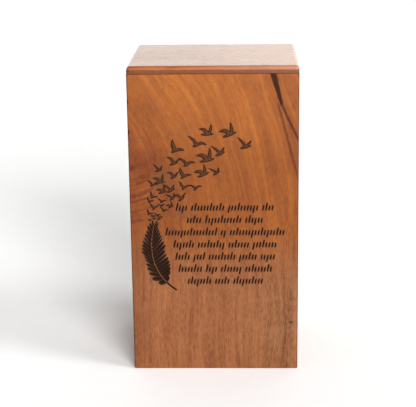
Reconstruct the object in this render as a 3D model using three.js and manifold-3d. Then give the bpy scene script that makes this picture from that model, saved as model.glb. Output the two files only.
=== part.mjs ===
import * as THREE from 'three';
import { mergeVertices } from 'three/addons/utils/BufferGeometryUtils.js';
import Module from 'manifold-3d';

const wasm = await Module();
wasm.setup();

// A wooden cremation urn: a tall box of six boards with an engraved front.
// Millimetres, +Z up, front towards -Y, origin on the table under the middle.

const WIDTH = 152;
const DEPTH = 128;
const HEIGHT = 285;
const WALL = 12;
const CORNER_RADIUS = 1.2; // sanded upright corners and bottom edges
const JOINT_GAP = 0.1; // glue line, and the seat of the base board

// Top board, glued on, with a lip that drops inside the walls
const TOP_THICKNESS = 7;
const TOP_ROUNDOVER = 3;
const LIP_HEIGHT = 5;
const LIP_CLEARANCE = 0.3;

// Base board, let into the walls from below
const BASE_THICKNESS = 9;
const BASE_RECESS = 1; // above the table
const BASE_CLEARANCE = 0.4;
const CHEEK = 4; // wall left outside the base board

// Countersunk wood screws that hold the base board up against the walls
const SCREW_LENGTH = 16;
const SCREW_DIAMETER = 2.6;
const SCREW_HEAD_DIAMETER = 5;
const SCREW_HEAD_HEIGHT = 1.6;
const SCREW_HEAD_RIM = 0.3;
const SCREW_POINT = 3;
const SCREW_CLEARANCE = 0.3;
const SCREW_FROM_SIDE = 22; // in from the inside of the side walls
const CROSS_WIDTH = 0.7;
const CROSS_LENGTH = 2.8;
const CROSS_DEPTH = 1.1;
const SCREW_SIDES = 12;

// Engraving: drawn on a field 100 units wide and 125 tall, scaled to the panel
const ENGRAVING_DEPTH = 0.8;
const FIELD_MARGIN = 10; // bare wood left and right of the field
const FIELD_FOOT = 76; // bare wood below it
const FIELD_HEAD = 36.9; // bare wood above it
const FIELD_WIDTH = 100;
const FIELD_HEIGHT = 125;

// Feather, in field units: the shaft curves up from the quill
const SHAFT = [[23.5, 1.2], [7.2, 12], [3.5, 30], [9, 50]];
const SHAFT_WIDTH = 0.68;
const QUILL_SHARE = 0.17; // of the shaft, bare below the vane
const VANE_SHARE = 0.8;
const BARBS = 17; // on each side
const BARB_WIDTH = 1.95; // of one that stands straight out; less the more it leans
// Lengths, and leans in degrees, of the barbs at shares of the vane
const BARB_SHARES = [0, 0.08, 0.18, 0.3, 0.45, 0.6, 0.75, 0.9, 1];
const LEFT_LENGTHS = [4.5, 7, 8.6, 9.2, 9.4, 9, 8, 6.2, 4.6];
const RIGHT_LENGTHS = [3.5, 6.5, 9.6, 11.2, 11.8, 11.2, 9.8, 7.4, 5];
const LEFT_LEANS = [80, 58, 40, 34, 38, 40, 36, 28, 16];
const RIGHT_LEANS = [76, 80, 82, 76, 60, 46, 36, 24, 14];

// Birds, in field units: they rise in a bent band and grow along it
const SWEEP = [[9.5, 52.5], [10.5, 75], [34, 94], [70, 115]];
const FIRST_SPAN = 3.2;
const SPAN_GROWTH = 11.2;
const BAND_HALF_WIDTH = 14;
const LANE_SPACING = 1; // of the span, across the band
const ROW_SPACING = 0.8; // of the span, along the band

// Inscription, in field units: rows of slanted strokes, grouped like words
const ROWS = [
  [4, 11, 10, 4],
  [5, 12, 6],
  [17, 2, 18],
  [7, 9, 7, 8],
  [5, 4, 9, 6, 5],
  [8, 4, 7, 9],
  [8, 5, 10],
];
const ROW_DROP = 8.82;
const FIRST_ROW = 58.8; // foot of the top row's strokes
const ROW_MIDDLE = 56.8;
const STROKE_PITCH = 2.12;
const WORD_PITCH = 4.1;
const STROKE_WIDTH = 1.12;
const STROKE_HEIGHT = 3.6;
const TALL_STROKE = 5.5;
const LOW_STROKE = -1.7;
const SLANT = 0.21;

// Sizes that follow from those above
const WALL_HEIGHT = HEIGHT - TOP_THICKNESS - JOINT_GAP;
const INSIDE_WIDTH = WIDTH - 2 * WALL;
const INSIDE_DEPTH = DEPTH - 2 * WALL;
const BASE_TOP = BASE_RECESS + BASE_THICKNESS;
const UNIT = Math.min(
  (WIDTH - 2 * FIELD_MARGIN) / FIELD_WIDTH,
  (WALL_HEIGHT - FIELD_FOOT - FIELD_HEAD) / FIELD_HEIGHT,
);

// Solids

function solid(geometry) {
  geometry.deleteAttribute('normal');
  geometry.deleteAttribute('uv');
  const merged = mergeVertices(geometry, 1e-5);
  return new wasm.Manifold(new wasm.Mesh({
    numProp: 3,
    vertProperties: new Float32Array(merged.attributes.position.array),
    triVerts: new Uint32Array(merged.index.array),
  }));
}

function meshOf(name, manifold, material) {
  const { vertProperties, triVerts } = manifold.getMesh();
  const geometry = new THREE.BufferGeometry();
  geometry.setAttribute('position', new THREE.BufferAttribute(vertProperties, 3));
  geometry.setIndex(new THREE.BufferAttribute(triVerts, 1));
  geometry.computeVertexNormals();
  const mesh = new THREE.Mesh(geometry, material);
  mesh.name = name;
  return mesh;
}

function block(x, y, z) {
  const geometry = new THREE.BoxGeometry(x[1] - x[0], y[1] - y[0], z[1] - z[0]);
  geometry.translate((x[0] + x[1]) / 2, (y[0] + y[1]) / 2, (z[0] + z[1]) / 2);
  return solid(geometry);
}

function outline(width, height, footRadius, headRadius) {
  const x = width / 2;
  const shape = new THREE.Shape();
  shape.absarc(x - footRadius, footRadius, footRadius, -Math.PI / 2, 0);
  shape.absarc(x - headRadius, height - headRadius, headRadius, 0, Math.PI / 2);
  shape.absarc(headRadius - x, height - headRadius, headRadius, Math.PI / 2, Math.PI);
  shape.absarc(footRadius - x, footRadius, footRadius, Math.PI, 1.5 * Math.PI);
  return shape;
}

// The outside of the glued box after sanding and rounding; every board is cut from it
function outsideOfBox() {
  const plan = new THREE.ExtrudeGeometry(
    outline(WIDTH, DEPTH, CORNER_RADIUS, CORNER_RADIUS),
    { depth: HEIGHT, bevelEnabled: false, curveSegments: 3 },
  );
  plan.translate(0, -DEPTH / 2, 0);
  const seenFromFront = new THREE.ExtrudeGeometry(
    outline(WIDTH, HEIGHT, CORNER_RADIUS, TOP_ROUNDOVER),
    { depth: DEPTH, bevelEnabled: false, curveSegments: 5 },
  );
  seenFromFront.rotateX(Math.PI / 2).translate(0, DEPTH / 2, 0);
  const seenFromSide = new THREE.ExtrudeGeometry(
    outline(DEPTH, HEIGHT, CORNER_RADIUS, TOP_ROUNDOVER),
    { depth: WIDTH, bevelEnabled: false, curveSegments: 5 },
  );
  seenFromSide.rotateX(Math.PI / 2).rotateZ(Math.PI / 2).translate(-WIDTH / 2, 0, 0);
  return solid(plan).intersect(solid(seenFromFront)).intersect(solid(seenFromSide));
}

// Engraving outlines

function curve(points) {
  const knots = points.map(([a, b]) => new THREE.Vector2(a, b));
  return knots.length === 4
    ? new THREE.CubicBezierCurve(...knots)
    : new THREE.QuadraticBezierCurve(...knots);
}

// The outline of one cut: a path with a width that changes along it
function cut(points, halfWidth, stations) {
  const path = curve(points);
  const left = [];
  const right = [];
  for (let i = 0; i <= stations; i += 1) {
    const t = i / stations;
    const at = path.getPoint(t);
    const along = path.getTangent(t);
    const half = halfWidth(t);
    left.push(new THREE.Vector2(at.x + along.y * half, at.y - along.x * half));
    right.unshift(new THREE.Vector2(at.x - along.y * half, at.y + along.x * half));
  }
  return new THREE.Shape([...left, ...right]);
}

// An even spread between -0.5 and 0.5, the same each time
function spread(index) {
  return ((index * 0.618034) % 1) - 0.5;
}

// The value at a share, read off a short table
function between(shares, values, share) {
  const i = Math.max(1, shares.findIndex((end) => end >= share));
  return THREE.MathUtils.mapLinear(share, shares[i - 1], shares[i], values[i - 1], values[i]);
}

function barb(side, index) {
  const share = (index + 0.5) / BARBS;
  const shaft = curve(SHAFT);
  const t = QUILL_SHARE + VANE_SHARE * share;
  const root = shaft.getPoint(t);
  const along = shaft.getTangent(t);
  const out = new THREE.Vector2(along.y, -along.x).multiplyScalar(side);
  const full = between(BARB_SHARES, side < 0 ? LEFT_LENGTHS : RIGHT_LENGTHS, share);
  const length = full * (1 + 0.2 * spread(3 * index + (side < 0 ? 0 : 5)));
  const lean = THREE.MathUtils.degToRad(between(BARB_SHARES, side < 0 ? LEFT_LEANS : RIGHT_LEANS, share));
  const reach = (angle, distance) => root.clone()
    .addScaledVector(along, distance * Math.cos(angle))
    .addScaledVector(out, distance * Math.sin(angle))
    .toArray();
  const width = BARB_WIDTH * Math.sin(lean);
  return cut(
    [root.toArray(), reach(1.12 * lean, length / 2), reach(lean, length)],
    (u) => (width / 2) * (1 - u ** 5) ** 0.7 + 0.03,
    3,
  );
}

function quill() {
  const shaft = curve(SHAFT);
  const points = [0, QUILL_SHARE / 2, QUILL_SHARE].map((t) => shaft.getPoint(t).toArray());
  return cut(points, (u) => 0.18 + 0.3 * u, 2);
}

function shaftLine() {
  return cut(SHAFT, (u) => (SHAFT_WIDTH / 2) * (1 - 0.6 * u), 8);
}

// Bird poses as shares of the span: near wing, far wing and body, each from
// its root through its bend to its tip, with the widths at the root
const POSES = {
  soaring: {
    near: [[0.03, -0.1], [-0.1, 0.32], [-0.52, 0.28]], nearWidth: 0.24,
    far: [[0.08, -0.08], [0.22, 0.14], [0.5, 0.32]], farWidth: 0.17,
    body: [[-0.22, -0.24], [0.04, -0.08], [0.3, 0]], bodyWidth: 0.18,
  },
  rowing: {
    near: [[0.02, -0.14], [-0.12, 0.22], [-0.52, 0.08]], nearWidth: 0.28,
    far: [[0.1, -0.12], [0.22, 0.16], [0.16, 0.5]], farWidth: 0.22,
    body: [[-0.34, -0.22], [0.05, -0.14], [0.4, -0.06]], bodyWidth: 0.17,
  },
  climbing: {
    near: [[-0.04, -0.1], [-0.3, 0.2], [-0.26, 0.54]], nearWidth: 0.28,
    far: [[0.04, -0.08], [0.26, 0.06], [0.5, -0.04]], farWidth: 0.2,
    body: [[-0.26, -0.26], [-0.02, -0.08], [0.28, 0.04]], bodyWidth: 0.18,
  },
  stooping: {
    near: [[0.04, -0.1], [-0.12, 0.14], [-0.52, 0.38]], nearWidth: 0.2,
    far: [[0.08, -0.1], [0.2, 0.12], [0.3, 0.32]], farWidth: 0.18,
    body: [[-0.24, -0.24], [0.05, -0.1], [0.34, 0.02]], bodyWidth: 0.18,
  },
  gliding: {
    near: [[-0.02, -0.1], [-0.12, 0.16], [-0.5, 0.3]], nearWidth: 0.19,
    far: [[0.02, -0.1], [0.22, 0.14], [0.5, -0.04]], farWidth: 0.18,
    body: [[-0.18, -0.2], [0, -0.1], [0.14, -0.02]], bodyWidth: 0.16,
  },
  small: {
    near: [[0.02, -0.06], [-0.12, 0.16], [-0.48, 0.24]], nearWidth: 0.34,
    far: [[-0.02, -0.06], [0.2, 0.18], [0.48, 0.06]], farWidth: 0.3,
  },
};
const POSE_ORDER = ['soaring', 'rowing', 'climbing', 'stooping', 'gliding'];
const SMALL_SPAN = 4.6; // below it every bird takes the small pose

function bird({ pose, at, span, tilt }) {
  const { near, far, body, nearWidth, farWidth, bodyWidth } = POSES[pose];
  const place = (points) => points.map(([a, b]) => new THREE.Vector2(a, b)
    .rotateAround(new THREE.Vector2(), tilt)
    .multiplyScalar(span)
    .add(at)
    .toArray());
  const wing = (width) => (u) => span * ((width / 2) * (1 - u) ** 0.8 * (0.8 + u) + 0.004);
  const trunk = (u) => span * (bodyWidth / 2) * Math.sin(Math.PI * (0.1 + 0.86 * u)) ** 0.8;
  const wings = [cut(place(near), wing(nearWidth), 3), cut(place(far), wing(farWidth), 2)];
  return pose === 'small' ? wings : [...wings, cut(place(body), trunk, 2)];
}

function flock() {
  const birds = [];
  const sweep = curve(SWEEP);
  const length = sweep.getLength();
  let row = 0;
  let t = 0;
  while (t < 1) {
    const rowSpan = FIRST_SPAN + SPAN_GROWTH * t ** 0.65;
    const half = 4 + BAND_HALF_WIDTH * Math.sin(Math.PI * (0.03 + 0.73 * t)) ** 1.5;
    const lanes = Math.max(1, Math.round((2 * half) / (rowSpan * LANE_SPACING)));
    const middle = sweep.getPoint(t);
    const along = sweep.getTangent(t);
    for (let lane = 0; lane < lanes; lane += 1) {
      const n = birds.length;
      const stagger = lanes > 1 ? (row % 2 ? 0.44 : -0.44) / lanes : 0;
      const offset = (2 * lane + 1) / lanes - 1 + stagger;
      const across = new THREE.Vector2(along.y, -along.x).multiplyScalar(offset * half);
      const forward = along.clone().multiplyScalar(0.4 * rowSpan * spread(3 * n));
      birds.push({
        pose: rowSpan > SMALL_SPAN ? POSE_ORDER[(2 * n + row) % 5] : 'small',
        at: middle.clone().add(across).add(forward),
        span: rowSpan * (1 + 0.34 * spread(5 * n + 2)) * (1 - 0.16 * Math.max(0, offset)),
        tilt: 0.06 + 0.5 * spread(7 * n + 1),
      });
    }
    t += (rowSpan * ROW_SPACING) / length;
    row += 1;
  }
  return birds;
}

function inscription() {
  const strokes = [];
  ROWS.forEach((words, row) => {
    const count = words.reduce((sum, strokesInWord) => sum + strokesInWord, 0);
    const length = (count - words.length) * STROKE_PITCH + (words.length - 1) * WORD_PITCH;
    const foot = FIRST_ROW - row * ROW_DROP;
    let x = ROW_MIDDLE - length / 2;
    words.forEach((strokesInWord) => {
      for (let i = 0; i < strokesInWord; i += 1) {
        const n = strokes.length;
        const pick = spread(n) + 0.5;
        const low = pick >= 0.2 && pick < 0.3 ? LOW_STROKE : 0;
        const high = pick < 0.2 ? TALL_STROKE : STROKE_HEIGHT + 0.3 * spread(2 * n);
        const middle = (low + high) / 2;
        strokes.push(cut(
          [low, middle, high].map((b) => [x + SLANT * b, foot + b]),
          () => STROKE_WIDTH / 2,
          1,
        ));
        x += STROKE_PITCH;
      }
      x += WORD_PITCH - STROKE_PITCH;
    });
  });
  return strokes;
}

// Turns outlines in field units into a cutter that reaches into the front face
function cutter(shapes, depth) {
  const geometry = new THREE.ExtrudeGeometry(
    shapes,
    { depth: 2 * depth, bevelEnabled: false, curveSegments: 1 },
  );
  geometry.translate(-FIELD_WIDTH / 2, 0, 0);
  geometry.scale(UNIT, UNIT, 1);
  geometry.rotateX(Math.PI / 2);
  geometry.translate(0, depth - DEPTH / 2, FIELD_FOOT);
  return solid(geometry);
}

function engraving() {
  const join = (shapes) => shapes
    .map((shape) => cutter([shape], ENGRAVING_DEPTH))
    .reduce((all, one) => all.add(one));
  const barbs = [];
  for (let i = 0; i < BARBS; i += 1) barbs.push(barb(-1, i), barb(1, i));
  const vane = join(barbs).subtract(cutter([shaftLine()], 2 * ENGRAVING_DEPTH));
  return vane
    .add(join([quill()]))
    .add(join(flock().flatMap(bird)))
    .add(cutter(inscription(), ENGRAVING_DEPTH));
}

// Screw profile, head down; its hole is the same profile with the clearance around it
function screwSolid(clearance) {
  const head = SCREW_HEAD_DIAMETER / 2 + clearance;
  const shank = SCREW_DIAMETER / 2 + clearance;
  const profile = [
    [0, -clearance],
    [head, -clearance],
    [head, SCREW_HEAD_RIM],
    [shank, SCREW_HEAD_HEIGHT],
    [shank, SCREW_LENGTH - SCREW_POINT],
    [0, SCREW_LENGTH + clearance],
  ].map(([radius, height]) => new THREE.Vector2(radius, height));
  const geometry = new THREE.LatheGeometry(profile, SCREW_SIDES);
  geometry.rotateX(Math.PI / 2);
  return solid(geometry);
}

function crossRecess() {
  const arm = (x, y) => block([-x / 2, x / 2], [-y / 2, y / 2], [-CROSS_DEPTH, CROSS_DEPTH]);
  return arm(CROSS_LENGTH, CROSS_WIDTH).add(arm(CROSS_WIDTH, CROSS_LENGTH));
}

const screwX = INSIDE_WIDTH / 2 - SCREW_FROM_SIDE;
const screwY = DEPTH / 2 - CHEEK - (WALL - CHEEK) / 2;
const screwPlaces = {
  screw_front_left: [-screwX, -screwY],
  screw_front_right: [screwX, -screwY],
  screw_back_left: [-screwX, screwY],
  screw_back_right: [screwX, screwY],
};
const screwHoles = Object.values(screwPlaces)
  .map(([x, y]) => screwSolid(SCREW_CLEARANCE).translate([x, y, BASE_RECESS]))
  .reduce((all, one) => all.add(one));

// Boards

const outside = outsideOfBox();
const halfWidth = WIDTH / 2;
const halfDepth = DEPTH / 2;
const recessForBase = block(
  [CHEEK - halfWidth, halfWidth - CHEEK],
  [CHEEK - halfDepth, halfDepth - CHEEK],
  [-CORNER_RADIUS, BASE_TOP + JOINT_GAP],
);

function wall(x, y) {
  return outside
    .intersect(block(x, y, [0, WALL_HEIGHT]))
    .subtract(recessForBase)
    .subtract(screwHoles);
}

const frontPanel = wall([-halfWidth, halfWidth], [-halfDepth, WALL - halfDepth])
  .subtract(engraving());
const backPanel = wall([-halfWidth, halfWidth], [halfDepth - WALL, halfDepth]);
const sideDepth = [WALL + JOINT_GAP - halfDepth, halfDepth - WALL - JOINT_GAP];
const leftSide = wall([-halfWidth, WALL - halfWidth], sideDepth);
const rightSide = wall([halfWidth - WALL, halfWidth], sideDepth);

const lipX = INSIDE_WIDTH / 2 - LIP_CLEARANCE;
const lipY = INSIDE_DEPTH / 2 - LIP_CLEARANCE;
const topBoard = outside
  .intersect(block([-halfWidth, halfWidth], [-halfDepth, halfDepth], [HEIGHT - TOP_THICKNESS, HEIGHT]))
  .add(block(
    [-lipX, lipX],
    [-lipY, lipY],
    [HEIGHT - TOP_THICKNESS - LIP_HEIGHT, HEIGHT - TOP_THICKNESS / 2],
  ));

const baseX = halfWidth - CHEEK - BASE_CLEARANCE;
const baseY = halfDepth - CHEEK - BASE_CLEARANCE;
const baseBoard = block([-baseX, baseX], [-baseY, baseY], [BASE_RECESS, BASE_TOP])
  .subtract(screwHoles);

// Scene

const wood = (color) => new THREE.MeshStandardMaterial({ color, roughness: 0.42, metalness: 0 });
const steel = () => new THREE.MeshStandardMaterial({ color: 0xb9b6a8, roughness: 0.35, metalness: 0.9 });

const urn = new THREE.Group();
urn.name = 'cremation_urn_box';
urn.add(
  meshOf('top_board', topBoard, wood(0xc98f6e)),
  meshOf('front_panel', frontPanel, wood(0xb96e42)),
  meshOf('back_panel', backPanel, wood(0xb06a40)),
  meshOf('left_side', leftSide, wood(0xa9633b)),
  meshOf('right_side', rightSide, wood(0xa9633b)),
  meshOf('base_board', baseBoard, wood(0xb57a50)),
);
const screw = screwSolid(0).subtract(crossRecess());
for (const [name, [x, y]] of Object.entries(screwPlaces)) {
  const mesh = meshOf(name, screw, steel());
  mesh.position.set(x, y, BASE_RECESS);
  urn.add(mesh);
}

export default urn;
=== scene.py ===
import math

import bmesh
import bpy
from mathutils import Euler, Matrix, Vector


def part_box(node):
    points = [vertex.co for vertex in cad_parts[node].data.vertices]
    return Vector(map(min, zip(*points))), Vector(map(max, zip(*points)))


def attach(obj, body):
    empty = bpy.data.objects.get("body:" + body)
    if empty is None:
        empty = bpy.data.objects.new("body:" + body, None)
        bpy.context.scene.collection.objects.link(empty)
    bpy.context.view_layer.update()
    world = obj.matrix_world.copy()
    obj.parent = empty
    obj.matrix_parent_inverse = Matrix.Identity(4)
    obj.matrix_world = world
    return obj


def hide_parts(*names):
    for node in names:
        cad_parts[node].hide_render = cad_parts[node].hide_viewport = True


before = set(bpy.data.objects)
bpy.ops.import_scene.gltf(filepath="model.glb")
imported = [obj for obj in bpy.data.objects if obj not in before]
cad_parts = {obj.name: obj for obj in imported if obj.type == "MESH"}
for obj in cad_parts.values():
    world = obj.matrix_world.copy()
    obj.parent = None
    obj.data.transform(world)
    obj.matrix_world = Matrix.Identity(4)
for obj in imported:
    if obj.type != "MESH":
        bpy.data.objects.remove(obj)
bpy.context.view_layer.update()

# The view: a camera a good arm's length in front of the box, a little to its
# right, looking down on it so that a strip of the top board shows.
CAMERA_PLACE = (0.03114, -1.14561, 0.46802)
CAMERA_TURN = (74.129, 0.721, 1.730)
CAMERA_LENS = 108.2

camera_data = bpy.data.cameras.new("camera")
camera_data.sensor_width = 36
camera_data.lens = CAMERA_LENS
camera = bpy.data.objects.new("camera", camera_data)
camera.location = CAMERA_PLACE
camera.rotation_euler = [math.radians(angle) for angle in CAMERA_TURN]
bpy.context.scene.collection.objects.link(camera)
bpy.context.scene.camera = camera


# Front panel: one upright hardwood board across the whole front, glued over
# the side boards. A feather that breaks up into birds and rows of strokes are
# burnt and cut into it about 0.8 mm deep, and its left edge has small chips.
PANEL_LOW, PANEL_HIGH = (Vector(corner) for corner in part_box("front_panel"))
EDGE_RADIUS = 0.0012
CELL = 0.002  # grid on the panel's face, fine enough to carry the soot
CUT_DEPTH = 0.0008
BIRD_DEPTH = 0.00045  # inside a bird's outline
VANE_DEPTH = 0.00065  # between the feather's barbs
OUTLINE = 0.0006  # width of the deep line round a bird
CUT_ABOVE = 0.0006  # how far the tool stands out of the face
LEAST_CUT = 0.00002  # half width of the narrowest cut
TOOL_PASSES = 6  # paths that cross are cut in separate passes

# The engraving is drawn on a field 100 units wide that starts above the foot
FIELD_WIDTH = 100
FIELD_UNIT = 0.00132
FIELD_FOOT = 0.076

# Feather: the shaft curves up from the quill, and the vane runs along most of it
SHAFT = [(23.5, 1.2), (7.2, 12), (3.5, 30), (9, 50)]
SHAFT_WIDTH = 0.68
SHAFT_STEPS = 20
QUILL_SHARE = 0.17
VANE_SHARE = 0.8
BARBS = 17
BARB_WIDTH = 1.95  # of one that stands straight out; less the more it leans
VANE_WIDTHS = {-1: 4.0, 1: 3.1}  # of the shallower cut between the barbs
SPLITS = {-1: (5, 11), 1: (3, 6, 10)}  # barbs that stand apart
BARB_STEPS = 9
# Lengths, and leans in degrees, of the barbs left and right, at shares of the vane
BARB_SHARES = (0, 0.08, 0.18, 0.3, 0.45, 0.6, 0.75, 0.9, 1)
BARB_LENGTHS = {
    -1: (4.5, 7, 8.6, 9.2, 9.4, 9, 8, 6.2, 4.6),
    1: (3.5, 6.5, 9.6, 11.2, 11.8, 11.2, 9.8, 7.4, 5),
}
BARB_LEANS = {
    -1: (80, 58, 40, 34, 38, 40, 36, 28, 16),
    1: (76, 80, 82, 76, 60, 46, 36, 24, 14),
}

# Birds: they rise in a bent band of rows and lanes, and grow along it
SWEEP = [(9.5, 52.5), (10.5, 75), (34, 94), (70, 115)]
SWEEP_STEPS = 200
FIRST_SPAN = 3.2
SPAN_GROWTH = 11.2
LEAST_HALF_WIDTH = 4
BAND_HALF_WIDTH = 14
LANE_SPACING = 1  # of the span
ROW_SPACING = 0.8
STAGGER = 0.44
SMALL_SPAN = 4.6  # birds up to this have wings alone
LIMB_STEPS = 8

# Inscription: rows of slanted strokes that aren't letters, grouped like words
ROWS = [
    (4, 11, 10, 4),
    (5, 12, 6),
    (17, 2, 18),
    (7, 9, 7, 8),
    (5, 4, 9, 6, 5),
    (8, 4, 7, 9),
    (8, 5, 10),
]
ROW_DROP = 8.82
FIRST_ROW = 58.8
ROW_MIDDLE = 56.8
STROKE_PITCH = 2.12
WORD_PITCH = 4.1
STROKE_WIDTH = 1.12
STROKE_STEPS = 4
STROKE_HEIGHT = 3.6
TALL_STROKE = 5.5
LOW_STROKE = -1.7
SLANT = 0.21

# Bird poses as shares of the span: each limb from its root through its bend
# to its tip, with its width at the root.
POSES = [
    {"near": ((0.03, -0.1), (-0.1, 0.32), (-0.52, 0.28), 0.24),
     "far": ((0.08, -0.08), (0.22, 0.14), (0.5, 0.32), 0.17),
     "body": ((-0.22, -0.24), (0.04, -0.08), (0.3, 0), 0.18)},
    {"near": ((0.02, -0.14), (-0.12, 0.22), (-0.52, 0.08), 0.28),
     "far": ((0.1, -0.12), (0.22, 0.16), (0.16, 0.5), 0.22),
     "body": ((-0.34, -0.22), (0.05, -0.14), (0.4, -0.06), 0.17)},
    {"near": ((-0.04, -0.1), (-0.3, 0.2), (-0.26, 0.54), 0.28),
     "far": ((0.04, -0.08), (0.26, 0.06), (0.5, -0.04), 0.2),
     "body": ((-0.26, -0.26), (-0.02, -0.08), (0.28, 0.04), 0.18)},
    {"near": ((0.04, -0.1), (-0.12, 0.14), (-0.52, 0.38), 0.2),
     "far": ((0.08, -0.1), (0.2, 0.12), (0.3, 0.32), 0.18),
     "body": ((-0.24, -0.24), (0.05, -0.1), (0.34, 0.02), 0.18)},
    {"near": ((-0.02, -0.1), (-0.12, 0.16), (-0.5, 0.3), 0.19),
     "far": ((0.02, -0.1), (0.22, 0.14), (0.5, -0.04), 0.18),
     "body": ((-0.18, -0.2), (0, -0.1), (0.14, -0.02), 0.16)},
    {"near": ((0.02, -0.06), (-0.12, 0.16), (-0.48, 0.24), 0.4),
     "far": ((-0.02, -0.06), (0.2, 0.18), (0.48, 0.06), 0.36)},
]


def along(points, share):
    """Place on a curve given by its control points, and its direction there."""
    points = [Vector(point) for point in points]
    direction = points[-1] - points[0]
    while len(points) > 1:
        if len(points) == 2:
            direction = points[1] - points[0]
        points = [a.lerp(b, share) for a, b in zip(points, points[1:])]
    return points[0], direction.normalized()


def spread(index):
    """An even spread between -0.5 and 0.5, the same each time."""
    return index * 0.618034 % 1 - 0.5


class ToolPaths:
    """Paths of the cutting tool on the panel's face, with its half width along them."""

    def __init__(self):
        self.points, self.edges, self.half_widths, self.passes = [], [], [], []

    def cut(self, control, half_width, steps, tool_pass=0):
        for step in range(steps + 1):
            share = step / steps
            (across, up), _ = along(control, share)
            if step:
                self.edges.append((len(self.points) - 1, len(self.points)))
            across = (across - FIELD_WIDTH / 2) * FIELD_UNIT
            self.points.append((across, PANEL_LOW.y, FIELD_FOOT + up * FIELD_UNIT))
            self.half_widths.append(half_width(share) * FIELD_UNIT)
            self.passes.append(tool_pass)

    def made(self, name):
        mesh = bpy.data.meshes.new(name)
        mesh.from_pydata(self.points, self.edges, [])
        widths = mesh.attributes.new("half_width", "FLOAT", "POINT")
        widths.data.foreach_set("value", self.half_widths)
        passes = mesh.attributes.new("tool_pass", "INT", "POINT")
        passes.data.foreach_set("value", self.passes)
        paths = bpy.data.objects.new(name, mesh)
        bpy.context.scene.collection.objects.link(paths)
        return paths


def between(shares, values, share):
    """The value at a share, read off a short table."""
    i = max(n for n, start in enumerate(shares[:-1]) if start <= share)
    part = (share - shares[i]) / (shares[i + 1] - shares[i])
    return values[i] + part * (values[i + 1] - values[i])


def feather_barb(paths, side, index, root_width):
    share = (index + 0.5) / BARBS
    root, direction = along(SHAFT, QUILL_SHARE + VANE_SHARE * share)
    out = Vector((direction.y, -direction.x)) * side
    uneven = 1 + 0.2 * spread(3 * index + (0 if side < 0 else 5))
    length = between(BARB_SHARES, BARB_LENGTHS[side], share) * uneven
    lean = math.radians(between(BARB_SHARES, BARB_LEANS[side], share))
    width = root_width * math.sin(lean)

    def reach(angle, distance):
        return root + distance * (direction * math.cos(angle) + out * math.sin(angle))

    paths.cut(
        [root, reach(1.12 * lean, length / 2), reach(lean, length)],
        lambda t: width / 2 * (1 - t ** 5) ** 0.7 + 0.03,
        BARB_STEPS,
        index % 3 + (0 if side < 0 else 3),
    )


def flock():
    """Pose, place, span and tilt of each bird along the rising band."""
    birds = []
    steps = [along(SWEEP, step / SWEEP_STEPS)[0] for step in range(SWEEP_STEPS + 1)]
    length = sum((b - a).length for a, b in zip(steps, steps[1:]))
    row, share = 0, 0
    while share < 1:
        row_span = FIRST_SPAN + SPAN_GROWTH * share ** 0.65
        half = LEAST_HALF_WIDTH + BAND_HALF_WIDTH * math.sin(math.pi * (0.03 + 0.73 * share)) ** 1.5
        lanes = max(1, math.floor(2 * half / (row_span * LANE_SPACING) + 0.5))
        middle, direction = along(SWEEP, share)
        for lane in range(lanes):
            n = len(birds)
            stagger = (STAGGER if row % 2 else -STAGGER) / lanes if lanes > 1 else 0
            offset = (2 * lane + 1) / lanes - 1 + stagger
            across = Vector((direction.y, -direction.x)) * offset * half
            forward = direction * 0.4 * row_span * spread(3 * n)
            pose = (2 * n + row) % 5 if row_span > SMALL_SPAN else 5
            span = row_span * (1 + 0.34 * spread(5 * n + 2)) * (1 - 0.16 * max(0, offset))
            birds.append((POSES[pose], middle + across + forward, span, 0.06 + 0.5 * spread(7 * n + 1)))
        share += row_span * ROW_SPACING / length
        row += 1
    return birds


def body_half(share, span, width):
    """Half width of a bird's body along it."""
    return span * width / 2 * math.sin(math.pi * (0.1 + 0.86 * share)) ** 0.8


def wing_half(share, span, width):
    """Half width of a wing from its root to its tip."""
    return span * (width / 2 * (1 - share) ** 0.8 * (0.8 + share) + 0.004)


def bird(paths, pose, place, span, tilt, first_pass):
    """Cuts a bird limb by limb. They cross, so each has a tool pass of its own."""
    for tool_pass, (limb, (*control, width)) in enumerate(pose.items(), first_pass):
        points = []
        for a, b in control:
            tilted = Vector((
                a * math.cos(tilt) - b * math.sin(tilt),
                a * math.sin(tilt) + b * math.cos(tilt),
            ))
            points.append(place + tilted * span)
        shape = body_half if limb == "body" else wing_half
        paths.cut(points, lambda t: shape(t, span, width), LIMB_STEPS, tool_pass)


def stroke_half(share):
    return STROKE_WIDTH / 2 * (0.7 + 0.3 * math.sin(math.pi * share))


def inscription(paths):
    n = 0
    for row, words in enumerate(ROWS):
        length = (sum(words) - len(words)) * STROKE_PITCH + (len(words) - 1) * WORD_PITCH
        x = ROW_MIDDLE - length / 2
        foot = FIRST_ROW - row * ROW_DROP
        for strokes in words:
            for _ in range(strokes):
                pick = spread(n) + 0.5
                low = LOW_STROKE if 0.2 <= pick < 0.3 else 0
                high = TALL_STROKE if pick < 0.2 else STROKE_HEIGHT + 0.3 * spread(2 * n)
                ends = [(x + SLANT * b, foot + b) for b in (low, (low + high) / 2, high)]
                paths.cut(ends, stroke_half, STROKE_STEPS)
                x += STROKE_PITCH
                n += 1
            x += WORD_PITCH - STROKE_PITCH


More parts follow.
